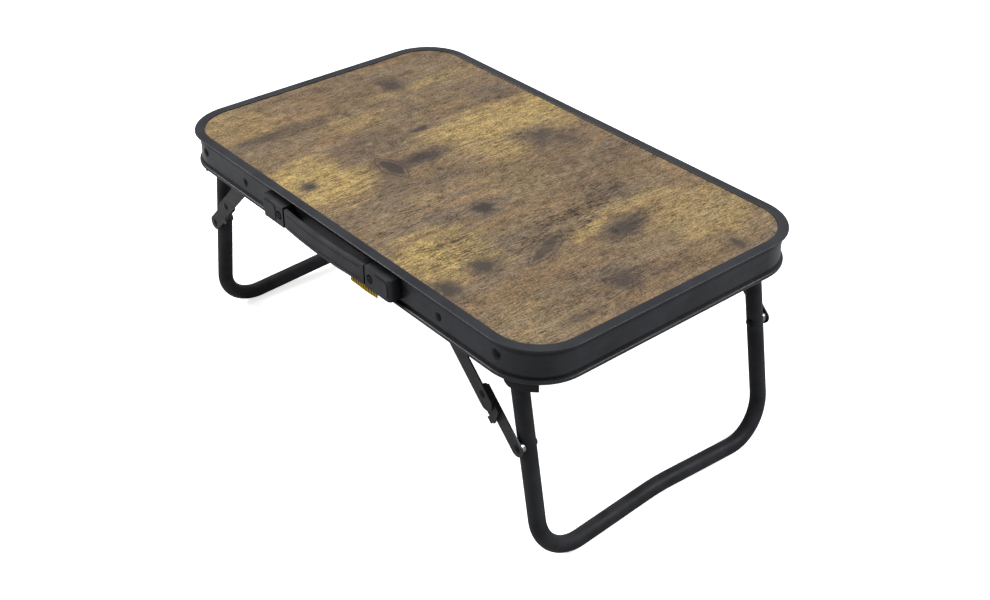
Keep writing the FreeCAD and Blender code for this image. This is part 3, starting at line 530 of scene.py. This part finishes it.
# Bands, streaks and strokes along the grain: scale across and along it per metre, detail,
# roughness
GROUND_BANDS = (26.0, 5.0, 3.0, 0.6)
RED_BANDS = (80.0, 10.0, 4.0, 0.65)
PATCH_FEATHER = (130.0, 9.0, 3.0, 0.6)
GOLD_STREAKS = (190.0, 9.0, 4.0, 0.7)
CHECK_STROKES = (380.0, 66.0, 3.0, 0.6)
FINE_STROKES = (800.0, 130.0, 2.0, 0.6)
STRAY_CHECKS = (24.0, 14.0, 3.0, 0.7)
SKIN_PORES = (1500.0, 60.0, 3.0, 0.6)
# Round noises: scale per metre, detail, roughness
MOTTLE = (42.0, 5.0, 0.65)
KNOT_RIPPLE = (170.0, 4.0, 0.7)
CHECK_CLUSTERS = (70.0, 3.0, 0.6)
SAWN_AREAS = (16.0, 3.0, 0.6)
# How strong each part of the print is, how ragged the knots are, and where the ring of an
# eye lies, as a share of the eye's own size
DARKEST_FIBRE = 0.25
SHADE_STRENGTH = 0.80
SCRATCH_STRENGTH = 0.24
CHECK_STRENGTH = 0.92
KNOT_STRENGTH = 0.88
KNOT_HALO = 0.62
KNOT_RAGGEDNESS = 1.9
EYE_HALO = 0.45
EYE_RAGGEDNESS = 0.75
RING_PLACE = 1.05
RING_STRENGTH = 0.70
SAW_TURN = math.radians(62)
SAW_SQUEEZE = (900.0, 45.0, 1.0)

# How the pattern's edges wander: scale per metre, then reach across and along the grain
GRAIN_WANDER = (9.0, 14 * MM, 40 * MM)
PATCH_WANDER = (30.0, 24 * MM, 40 * MM)
KNOT_WANDER = (60.0, 5 * MM, 7 * MM)


def patch_group():
    """Node group: how far a place is from a patch's middle, as an oval and as a pointed lens."""
    group = bpy.data.node_groups.new("oval_patch", "ShaderNodeTree")
    for name, kind in (("Place", "NodeSocketVector"), ("Middle", "NodeSocketVector"),
                       ("Turn", "NodeSocketFloat"), ("Scale", "NodeSocketVector")):
        group.interface.new_socket(name, in_out="INPUT", socket_type=kind)
    for name in ("Distance", "Lens"):
        group.interface.new_socket(name, in_out="OUTPUT", socket_type="NodeSocketFloat")
    start = group.nodes.new("NodeGroupInput")
    end = group.nodes.new("NodeGroupOutput")
    turn = group.nodes.new("ShaderNodeVectorRotate")
    turn.rotation_type = "Z_AXIS"
    shift = group.nodes.new("ShaderNodeVectorMath")
    shift.operation = "SUBTRACT"
    size = group.nodes.new("ShaderNodeVectorMath")
    size.operation = "MULTIPLY"
    length = group.nodes.new("ShaderNodeVectorMath")
    length.operation = "LENGTH"
    apart = group.nodes.new("ShaderNodeSeparateXYZ")
    across = group.nodes.new("ShaderNodeMath")
    across.operation = "ABSOLUTE"
    lens = group.nodes.new("ShaderNodeMath")
    lens.operation = "MULTIPLY_ADD"
    links = (
        (start.outputs["Place"], turn.inputs["Vector"]),
        (start.outputs["Middle"], turn.inputs["Center"]),
        (start.outputs["Turn"], turn.inputs["Angle"]),
        (turn.outputs[0], shift.inputs[0]),
        (start.outputs["Middle"], shift.inputs[1]),
        (shift.outputs["Vector"], size.inputs[0]),
        (start.outputs["Scale"], size.inputs[1]),
        (size.outputs["Vector"], length.inputs[0]),
        (length.outputs["Value"], end.inputs["Distance"]),
        (size.outputs["Vector"], apart.inputs[0]),
        (apart.outputs["Y"], across.inputs[0]),
        (apart.outputs["X"], lens.inputs[0]),
        (apart.outputs["X"], lens.inputs[1]),
        (across.outputs[0], lens.inputs[2]),
        (lens.outputs[0], end.inputs["Lens"]),
    )
    for output, socket in links:
        group.links.new(output, socket)
    return group


class Board:
    """The board's own coordinates and the patterns drawn in them."""

    def __init__(self, graph, group):
        low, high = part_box("top_laminate")
        self.graph = graph
        self.group = group
        middle = (low + high) / 2
        flat = graph.vector("SUBTRACT", graph.place, tuple(middle))
        self.flat = graph.vector("MULTIPLY", flat, (1.0, 1.0, 0.0))

    def distance(self, place, patch, kind="Distance"):
        """How far a place is from a patch's middle, as a share of the patch's size."""
        x, y, half_x, half_y, turn, _ = patch
        made = self.graph.node("ShaderNodeGroup")
        made.node_tree = self.group
        self.graph.put(place, made.inputs["Place"])
        made.inputs["Middle"].default_value = (x * MM, y * MM, 0.0)
        made.inputs["Turn"].default_value = math.radians(-turn)
        made.inputs["Scale"].default_value = (1 / (half_x * MM), 1 / (half_y * MM), 0.0)
        return made.outputs[kind]

    def patches(self, place, patches, soft, feather=0.0):
        """All the patches of one kind as one mask, soft over the outer share of each."""
        total = 0.0
        for patch in patches:
            reach = self.graph.maths("ADD", self.distance(place, patch), feather)
            mask = self.graph.spread(reach, 1.0 - soft, 1.0 + soft * 0.4, patch[-1], 0.0)
            total = self.graph.maths("MAXIMUM", total, mask)
        return total

    def round_knots(self, place):
        """The place with the grain pushed aside, so that it flows round the eyes and the first few
        knots.
        """
        graph = self.graph
        for x, y, half_x, half_y, turn, strength in EYES + KNOTS[:FLOWED_ROUND]:
            wide = (x, y, half_x * FLOW_ACROSS, half_y * FLOW_ALONG, turn, strength)
            pull = graph.spread(self.distance(place, wide), 0.0, 1.0, GRAIN_PUSH * strength, 0.0)
            aside = graph.vector("SUBTRACT", place, (x * MM, y * MM, 0.0))
            aside = graph.vector("MULTIPLY", aside, (1.0, 0.0, 0.0))
            place = graph.vector("SUBTRACT", place, graph.scaled(aside, pull))
        return place


def grain(graph, place, across, along, detail, roughness):
    """Noise drawn out along the grain: across and along are its scales per metre."""
    drawn = graph.vector("MULTIPLY", place, (across, along, 1.0))
    return graph.noise(drawn, 1.0, detail, roughness)


def wandering(graph, place, scale, across, along):
    """A place pushed about by soft noise, so that straight edges wander."""
    push = graph.noise(place, scale, 3.0, 0.6, colour=True)
    push = graph.vector("SUBTRACT", push, (0.5, 0.5, 0.5))
    push = graph.vector("MULTIPLY", push, (across, along, 0.0))
    return graph.vector("ADD", place, push)


def wood_fibres(graph, board, place):
    """Light and dark fibres and flecks at several scales, as a factor about 1."""
    layers = [(grain(graph, place, *recipe), weight) for *recipe, weight in FIBRE_LAYERS]
    layers += [(graph.noise(board.flat, *recipe), weight) for *recipe, weight in FLECK_LAYERS]
    total = 1.0
    for layer, weight in layers:
        part = graph.spread(layer, *MOST, -weight / 2, weight / 2, smooth=False)
        total = graph.maths("ADD", total, part)
    return graph.maths("MAXIMUM", total, DARKEST_FIBRE)


def wood_colour(graph, board, place, rough_place):
    """The print's colours: brown and grey ground, golden and dark patches."""
    wide = grain(graph, place, *GROUND_BANDS)
    middle = grain(graph, place, *RED_BANDS)
    mottle = graph.noise(board.flat, *MOTTLE)
    feather = grain(graph, place, *PATCH_FEATHER)
    feather = graph.spread(feather, 0.25, 0.75, -0.42, 0.42, smooth=False)

    tone = graph.mix(graph.spread(wide, 0.34, 0.66), WOOD_BROWN, WOOD_GREY)
    tone = graph.mix(graph.spread(middle, 0.46, 0.72, 0.0, 0.52), tone, WOOD_RED)

    gold = board.patches(rough_place, GOLDEN_PATCHES, 0.45, feather)
    broken = graph.spread(mottle, 0.30, 0.60, 0.50, 1.0)
    gold = graph.maths("MULTIPLY", gold, broken)
    streaks = graph.spread(grain(graph, place, *GOLD_STREAKS), 0.56, 0.74, 0.0, 0.45)
    gold = graph.maths("MAXIMUM", gold, streaks)
    tone = graph.mix(gold, tone, WOOD_GOLD)

    shade = board.patches(rough_place, SHADE_PATCHES, 0.75, graph.maths("MULTIPLY", feather, 0.6))
    shade = graph.maths("MULTIPLY", shade, graph.spread(mottle, 0.25, 0.6, 0.55, 1.0))
    tone = graph.mix(graph.maths("MULTIPLY", shade, SHADE_STRENGTH), tone, WOOD_SHADE)

    tone = graph.mix(graph.spread(mottle, 0.52, 0.78, 0.0, 0.40), tone, WOOD_SHADE)
    return graph.scaled(tone, wood_fibres(graph, board, place))


def wood_knots(graph, board, tone, rough_place):
    """Solid feathered knots, and pointed eyes inside a thin ring."""
    ripple = graph.maths("SUBTRACT", graph.noise(board.flat, *KNOT_RIPPLE), 0.5)
    for knot in KNOTS:
        reach = board.distance(rough_place, knot)
        reach = graph.maths("MULTIPLY_ADD", ripple, KNOT_RAGGEDNESS, reach)
        halo = graph.spread(reach, 0.6, 1.8, KNOT_HALO * knot[-1], 0.0)
        body = graph.spread(reach, 0.35, 1.0, KNOT_STRENGTH * knot[-1], 0.0)
        tone = graph.mix(halo, tone, WOOD_SHADE)
        tone = graph.mix(body, tone, WOOD_KNOT)
    for eye in EYES:
        reach = board.distance(rough_place, eye, "Lens")
        reach = graph.maths("MULTIPLY_ADD", ripple, EYE_RAGGEDNESS, reach)
        halo = graph.spread(reach, 0.9, 1.9, EYE_HALO * eye[-1], 0.0)
        body = graph.spread(reach, 0.45, 0.82, KNOT_STRENGTH * eye[-1], 0.0)
        ring = graph.maths("ABSOLUTE", graph.maths("SUBTRACT", reach, RING_PLACE))
        ring = graph.spread(ring, 0.03, 0.13, RING_STRENGTH * eye[-1], 0.0)
        tone = graph.mix(halo, tone, WOOD_SHADE)
        tone = graph.mix(graph.maths("MAXIMUM", body, ring), tone, WOOD_KNOT)
    return tone


def wood_checks(graph, board, place, rough_place):
    """A mask of short dark checks along the grain, gathered in the checked zones."""
    zone = board.patches(rough_place, CHECKED_ZONES, 0.6)
    strokes = graph.spread(grain(graph, place, *CHECK_STROKES), 0.51, 0.58)
    fine = graph.spread(grain(graph, place, *FINE_STROKES), 0.54, 0.63)
    gathered = graph.spread(graph.noise(board.flat, *CHECK_CLUSTERS), 0.40, 0.54)
    strokes = graph.maths("MULTIPLY", graph.maths("MAXIMUM", strokes, fine), gathered)
    stray = graph.spread(grain(graph, place, *STRAY_CHECKS), 0.58, 0.70, 0.04, 0.50)
    return graph.maths("MULTIPLY", strokes, graph.maths("MAXIMUM", zone, stray))


def saw_marks(graph, board):
    """Fine slanting scratches left by the saw, as a pale broken mask."""
    turned = graph.node("ShaderNodeVectorRotate", rotation_type="Z_AXIS")
    graph.put(board.flat, turned.inputs["Vector"])
    turned.inputs["Angle"].default_value = SAW_TURN
    lines = graph.vector("MULTIPLY", turned.outputs[0], SAW_SQUEEZE)
    lines = graph.spread(graph.noise(lines, 1.0), 0.55, 0.75)
    where = graph.spread(graph.noise(board.flat, *SAWN_AREAS), 0.48, 0.62)
    return graph.maths("MULTIPLY", lines, where)


def wood_laminate():
    """Printed weathered planks under a satin melamine skin with a pressed wood grain."""
    graph = Graph("wood_laminate")
    board = Board(graph, patch_group())
    place = board.round_knots(wandering(graph, board.flat, *GRAIN_WANDER))
    rough_place = wandering(graph, board.flat, *PATCH_WANDER)
    knot_place = wandering(graph, board.flat, *KNOT_WANDER)

    tone = wood_colour(graph, board, place, rough_place)
    checks = wood_checks(graph, board, place, rough_place)
    scratches = saw_marks(graph, board)
    tone = graph.mix(graph.maths("MULTIPLY", scratches, SCRATCH_STRENGTH), tone, WOOD_PALE)
    tone = wood_knots(graph, board, tone, knot_place)
    tone = graph.mix(graph.maths("MULTIPLY", checks, CHECK_STRENGTH), tone, WOOD_CHECK)

    pores = grain(graph, place, *SKIN_PORES)
    rough = graph.spread(pores, *MOST, *SKIN_ROUGHNESS)
    normal = graph.bump(pores, FINE_BUMP, 0.35)
    sunk = graph.maths("SUBTRACT", 1.0, checks)
    normal = graph.bump(sunk, 0.08 * MM, 0.5, normal)
    return graph.finish(tone, rough, normal, Specular_IOR_Level=0.24)


# --- the woven tag ---

TAG_ROWS = 34
TAG_COLUMNS = 46
TAG_CURL = 1.1 * MM
TAG_THICK = 0.45 * MM
TAG_LOWER_HEIGHT = 9.0 * MM
TAG_UPPER_WIDTH = 27.0 * MM
TAG_STRIPE_PITCH = 3.9 * MM
TAG_STRIPE_SLANT = 0.35
TAG_BAND_RISE = 4.6 * MM
TAG_BAND_HALF = 3.3 * MM
TAG_STRIPE_STRENGTH = 0.90
TAG_YARN = 0.55 * MM
STITCH_LENGTH = 2.0 * MM
STITCH_RADIUS = 0.16 * MM
STITCH_INSET = 1.2 * MM
THREAD_TWIST = 2400.0
TWIST_SQUEEZE = (1.0, 1.0, 2.2)
# One stitch's points: share of its length, rise in thread radii
STITCH_ARCH = ((0.0, 0.4), (0.35, 1.2), (0.7, 0.4))


def tag_fabric():
    """Woven tape: crossing yarns and a band of slanting dark stripes."""
    graph = Graph("tag_fabric")
    low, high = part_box("fabric_tag")
    middle = (low + high) / 2
    yarn = math.tau / TAG_YARN
    x, _, z = graph.axes(graph.vector("SUBTRACT", graph.place, tuple(middle)))
    warp = graph.maths("SINE", graph.maths("MULTIPLY", x, yarn))
    weft = graph.maths("SINE", graph.maths("MULTIPLY", z, yarn))
    weave = graph.maths("MULTIPLY", warp, weft)
    cloud = graph.noise(graph.place, 600.0, 3.0, 0.6)
    tone = graph.mix(graph.spread(weave, -0.6, 0.6), TAG_GOLD, TAG_YELLOW)
    tone = graph.mix(graph.spread(cloud, 0.4, 0.75, 0.0, 0.4), tone, TAG_GOLD)
    slanted = graph.maths("MULTIPLY_ADD", z, TAG_STRIPE_SLANT, x)
    stripes = graph.maths("SINE", graph.maths("MULTIPLY", slanted, math.tau / TAG_STRIPE_PITCH))
    stripes = graph.spread(stripes, 0.0, 0.45)
    band_z = low.z + TAG_BAND_RISE - middle.z
    band = graph.maths("ABSOLUTE", graph.maths("SUBTRACT", z, band_z))
    band = graph.spread(band, 0.8 * TAG_BAND_HALF, 1.2 * TAG_BAND_HALF, 1.0, 0.0)
    ink = graph.maths("MULTIPLY", graph.maths("MULTIPLY", stripes, band), TAG_STRIPE_STRENGTH)
    tone = graph.mix(ink, tone, TAG_INK)
    rough = graph.spread(cloud, *MOST, *TAG_ROUGHNESS)
    normal = graph.bump(weave, 0.10 * MM, 0.7)
    return graph.finish(tone, rough, normal, Specular_IOR_Level=0.15)


def stitch_thread():
    """Twisted sewing thread."""
    graph = Graph("stitch_thread")
    twist = graph.noise(graph.squeezed(*TWIST_SQUEEZE), THREAD_TWIST)
    tone = graph.mix(graph.spread(twist, 0.35, 0.65), TAG_GOLD, STITCH_COLOUR)
    rough = graph.spread(twist, *MOST, *THREAD_ROUGHNESS)
    return graph.finish(tone, rough, graph.bump(twist, FINE_BUMP, 0.5), Sheen_Weight=0.2)


def mesh_object(name, build, material):
    """An object from a bmesh that build fills."""
    mesh = bpy.data.meshes.new(name)
    shape = bmesh.new()
    build(shape)
    shape.to_mesh(mesh)
    shape.free()
    made = bpy.data.objects.new(name, mesh)
    bpy.context.scene.collection.objects.link(made)
    mesh.materials.append(material)
    for face in mesh.polygons:
        face.use_smooth = True
    return made


def tag_curve(across, down):
    """How far the tag leans out of its plane: slack curl at its hem, by shares of its box."""
    curl = TAG_CURL * down ** 2 * (0.55 + 0.45 * math.sin(across * math.pi * 1.3))
    return curl - 0.25 * TAG_CURL * math.sin(across * math.tau) * down


def fabric_tag():
    """The tag as one thin curved sheet in the space of its CAD plate; its hem's stitches are made
    apart.
    """
    low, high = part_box("fabric_tag")
    back_y = high.y - TAG_THICK

    def inside(x, z):
        return z <= low.z + TAG_LOWER_HEIGHT or x <= low.x + TAG_UPPER_WIDTH

    def build(shape):
        grid = {}
        for row in range(TAG_ROWS + 1):
            for column in range(TAG_COLUMNS + 1):
                across = column / TAG_COLUMNS
                down = 1 - row / TAG_ROWS
                x = low.x + across * (high.x - low.x)
                z = high.z - down * (high.z - low.z)
                if inside(x, z):
                    grid[row, column] = shape.verts.new((x, back_y - tag_curve(across, down), z))
        for row, column in grid:
            corners = [(row, column), (row, column + 1), (row + 1, column + 1), (row + 1, column)]
            if all(corner in grid for corner in corners):
                shape.faces.new([grid[corner] for corner in corners])

    tag = mesh_object("woven_tag", build, tag_fabric())
    cloth = tag.modifiers.new("cloth_thickness", "SOLIDIFY")
    cloth.thickness = TAG_THICK
    cloth.offset = 1.0
    return tag


def tag_stitches():
    """A row of stitches along the tag's hem."""
    low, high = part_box("fabric_tag")
    back_y = high.y - TAG_THICK
    count = int((high.x - low.x - 2 * STITCH_INSET) / STITCH_LENGTH)
    curve = bpy.data.curves.new("tag_stitches", "CURVE")
    curve.dimensions = "3D"
    curve.bevel_depth = STITCH_RADIUS
    curve.bevel_resolution = 3
    down = 1 - STITCH_INSET / (high.z - low.z)
    for index in range(count):
        start = low.x + STITCH_INSET + index * STITCH_LENGTH
        spline = curve.splines.new("NURBS")
        spline.points.add(len(STITCH_ARCH) - 1)
        for point, (share, rise) in zip(spline.points, STITCH_ARCH):
            x = start + share * STITCH_LENGTH
            across = (x - low.x) / (high.x - low.x)
            lift = STITCH_RADIUS * rise
            y = back_y - tag_curve(across, down) - TAG_THICK * 0.5 - lift
            point.co = (x, y, low.z + STITCH_INSET, 1.0)
        spline.order_u = 3
        spline.use_endpoint_u = True
    made = bpy.data.objects.new("tag_stitches", curve)
    bpy.context.scene.collection.objects.link(made)
    made.data.materials.append(stitch_thread())
    return made


# --- the whole scene ---

def material_table():
    """One finished material for each of the record's slots, but for the tag's."""
    return {
        "frame_paint": frame_paint(),
        "wood_laminate": wood_laminate(),
        "core_board": core_board(),
        "bracket_plastic": moulded_plastic("bracket_plastic", BRACKET_DARK, BRACKET_LIGHT, 0.55),
        "rivet_paint": painted_material("rivet_paint", RIVET_DARK, RIVET_LIGHT, 0.30, 1200.0, 0.35,
                                        Specular_IOR_Level=0.13),
        "link_paint": painted_material("link_paint", LINK_DARK, LINK_LIGHT, 0.42, 1000.0, 0.30,
                                       Specular_IOR_Level=0.28),
        "washer_zinc": washer_zinc(),
        "leg_paint": painted_material("leg_paint", LEG_DARK, LEG_LIGHT, 0.50, 1100.0, 0.0,
                                      Specular_IOR_Level=0.13),
        "handle_plastic": moulded_plastic("handle_plastic", PLASTIC_DARK, PLASTIC_LIGHT, 0.56),
        "screw_paint": painted_material("screw_paint", RIVET_DARK, RIVET_LIGHT, 0.30, 1500.0, 0.30,
                                        Specular_IOR_Level=0.13),
    }


def dress_nodes():
    """Give every CAD node the finished material of its own slot, but for the replaced tag."""
    materials = material_table()
    for part in frame["record"]["subparts"]:
        node = frame["nodes"][part["node"]]
        material = materials.get(part["material_slot"])
        if material is None:
            continue
        node.data.materials.clear()
        node.data.materials.append(material)


def add_tag():
    """The woven tag and its stitches, in place of the CAD plate."""
    tag = fabric_tag()
    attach(tag, "handle_strap")
    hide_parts("fabric_tag")
    stitches = tag_stitches()
    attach(stitches, "handle_strap")


def add_camera():
    """The camera at the reference viewing angle."""
    data = bpy.data.cameras.new("camera")
    data.lens = CAMERA_LENS
    data.sensor_width = SENSOR_WIDTH
    data.clip_end = CAMERA_REACH
    camera = bpy.data.objects.new("camera", data)
    camera.location = CAMERA_PLACE
    camera.rotation_euler = CAMERA_FORWARD.to_track_quat("-Z", "Y").to_euler()
    bpy.context.scene.collection.objects.link(camera)
    bpy.context.scene.camera = camera


def add_lights():
    """Three large soft boxes, all turned to the table's middle."""
    middle = (cad_bounds[0] + cad_bounds[1]) / 2
    for name, power, width, height, place in LIGHTS:
        data = bpy.data.lights.new(name, "AREA")
        data.shape = "RECTANGLE"
        data.size = width
        data.size_y = height
        data.energy = power
        light = bpy.data.objects.new(name, data)
        light.location = place
        light.rotation_euler = (middle - place).to_track_quat("-Z", "Y").to_euler()
        bpy.context.scene.collection.objects.link(light)


def add_sky():
    """A pale sky all round, brighter to the camera than the light it gives."""
    world = bpy.data.worlds.new("studio")
    world.use_nodes = True
    sky = world.node_tree.nodes["Background"]
    sky.inputs["Color"].default_value = SKY_COLOUR
    rays = world.node_tree.nodes.new("ShaderNodeLightPath")
    strength = world.node_tree.nodes.new("ShaderNodeMapRange")
    strength.inputs["To Min"].default_value = SKY_STRENGTH
    strength.inputs["To Max"].default_value = SKY_BACKDROP
    world.node_tree.links.new(rays.outputs["Is Camera Ray"], strength.inputs["Value"])
    world.node_tree.links.new(strength.outputs["Result"], sky.inputs["Strength"])
    bpy.context.scene.world = world


def floor_paint():
    """Pale matt studio floor, lit up a little, that throws less light back at the object."""
    graph = Graph("studio_floor")
    seen = graph.node("ShaderNodeLightPath").outputs["Is Camera Ray"]
    cloud = graph.noise(graph.place, 2.0, 3.0, 0.5)
    tone = graph.mix(graph.spread(cloud, 0.3, 0.7), FLOOR_COLOUR, FLOOR_CLOUD)
    tone = graph.mix(seen, FLOOR_BOUNCE, tone)
    graph.put(graph.maths("MULTIPLY", seen, FLOOR_GLOW), graph.shader.inputs["Emission Strength"])
    graph.shader.inputs["Emission Color"].default_value = FLOOR_COLOUR
    normal = graph.bump(cloud, 0.1 * MM, 0.1)
    return graph.finish(tone, FLOOR_ROUGHNESS, normal, Specular_IOR_Level=0.2)


def add_floor():
    """A plain pale floor under the feet."""
    ground = cad_bounds[0].z

    def build(shape):
        signs = ((-1, -1), (1, -1), (1, 1), (-1, 1))
        corners = [shape.verts.new((x * FLOOR_HALF, y * FLOOR_HALF, ground)) for x, y in signs]
        shape.faces.new(corners)

    mesh_object("studio_floor", build, floor_paint())


add_camera()
add_lights()
add_sky()
add_floor()
dress_nodes()
add_tag()
bpy.context.scene.view_settings.view_transform = "Standard"
